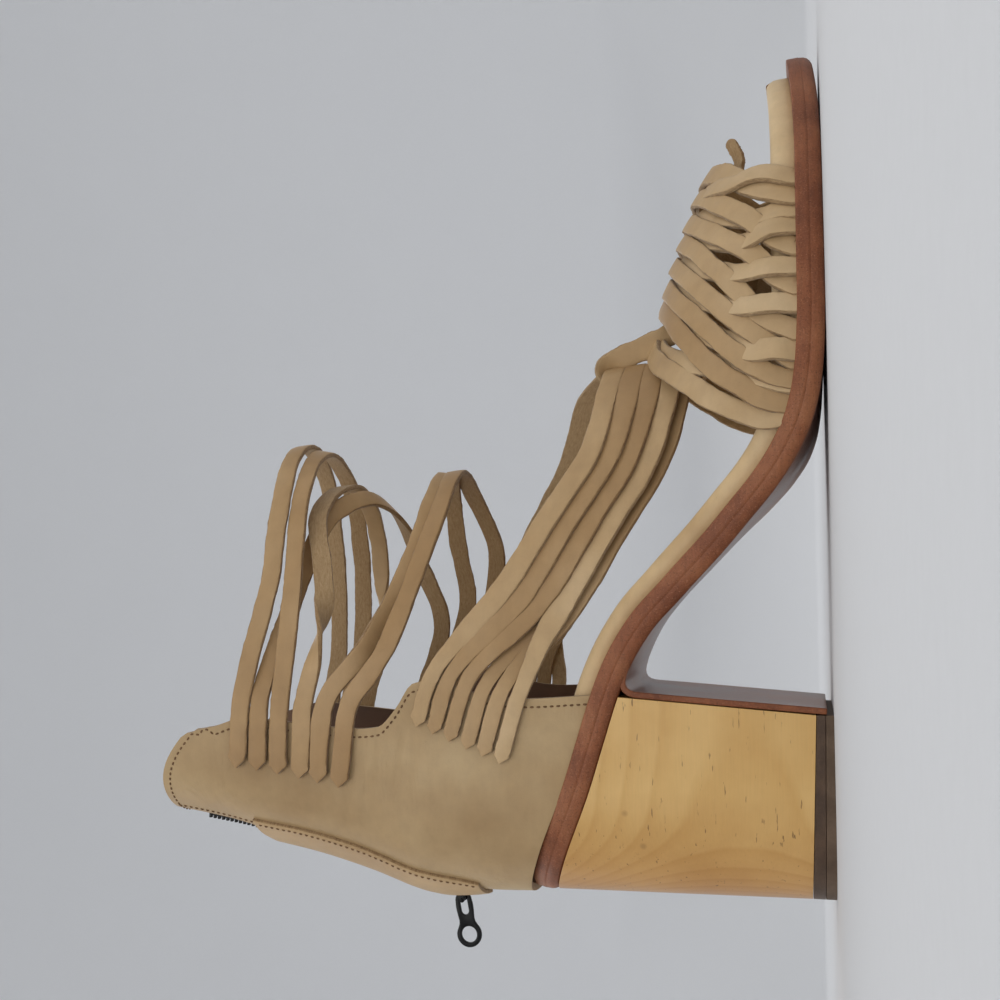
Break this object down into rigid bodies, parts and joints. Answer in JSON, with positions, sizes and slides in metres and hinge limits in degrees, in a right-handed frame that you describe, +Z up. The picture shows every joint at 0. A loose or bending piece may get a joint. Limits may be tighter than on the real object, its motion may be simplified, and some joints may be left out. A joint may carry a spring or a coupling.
{
  "type": "block heel sandal",
  "caption": "Open-toed block heel sandal with a woven leather vamp, a tall zipped heel cup and loose strap loops over the ankle and instep, on a wooden heel.",
  "frame": {"origin": "on the floor plane, under the middle of the shoe's bounding box", "axes": "+X from heel to toe, +Y to the shoe's medial side, +Z up"},
  "size_m": [0.2538, 0.0864, 0.184],
  "materials": {
    "upper_leather": "natural vegetable tanned, satin",
    "strap_leather": "natural vegetable tanned, raw fuzzy edges",
    "footbed_leather": "natural, matt",
    "stained_edge": "stained red-brown, waxed",
    "sole_leather": "polished grey-brown",
    "pine": "clear lacquer",
    "top_lift": "matt dark brown",
    "zip_black": "black tape and teeth",
    "zip_metal": "black painted"
  },
  "bodies": {
    "body": {"ankle_strap_1": "strap_leather", "ankle_strap_2": "strap_leather", "ankle_strap_3": "strap_leather", "ankle_strap_4": "strap_leather", "ankle_strap_5": "strap_leather", "ankle_strap_6": "strap_leather", "footbed": "footbed_leather", "heel_block": "pine", "heel_breast_cover": "sole_leather", "instep_strap_1": "strap_leather", "instep_strap_2": "strap_leather", "instep_strap_3": "strap_leather", "instep_strap_4": "strap_leather", "instep_strap_5": "strap_leather", "instep_strap_6": "strap_leather", "midsole": "stained_edge", "outsole": "sole_leather", "quarter": "upper_leather", "toe_strap_end": "strap_leather", "top_lift": "top_lift", "vamp": "strap_leather", "vamp_loop": "strap_leather", "zip_guard": "upper_leather", "zip_slider": "zip_metal", "zip_tape_lateral": "zip_black", "zip_tape_medial": "zip_black", "zip_teeth_lateral": "zip_black", "zip_teeth_medial": "zip_black"},
    "zip_pull": {"zip_pull": "zip_metal"}
  },
  "joints": [
    {"name": "pull_hinge", "type": "hinge", "parent": "body", "child": "zip_pull", "pos_m": [-0.1137, 0, 0.1028], "axis": [0, 1, 0], "range_deg": [-68, 75]}
  ]
}
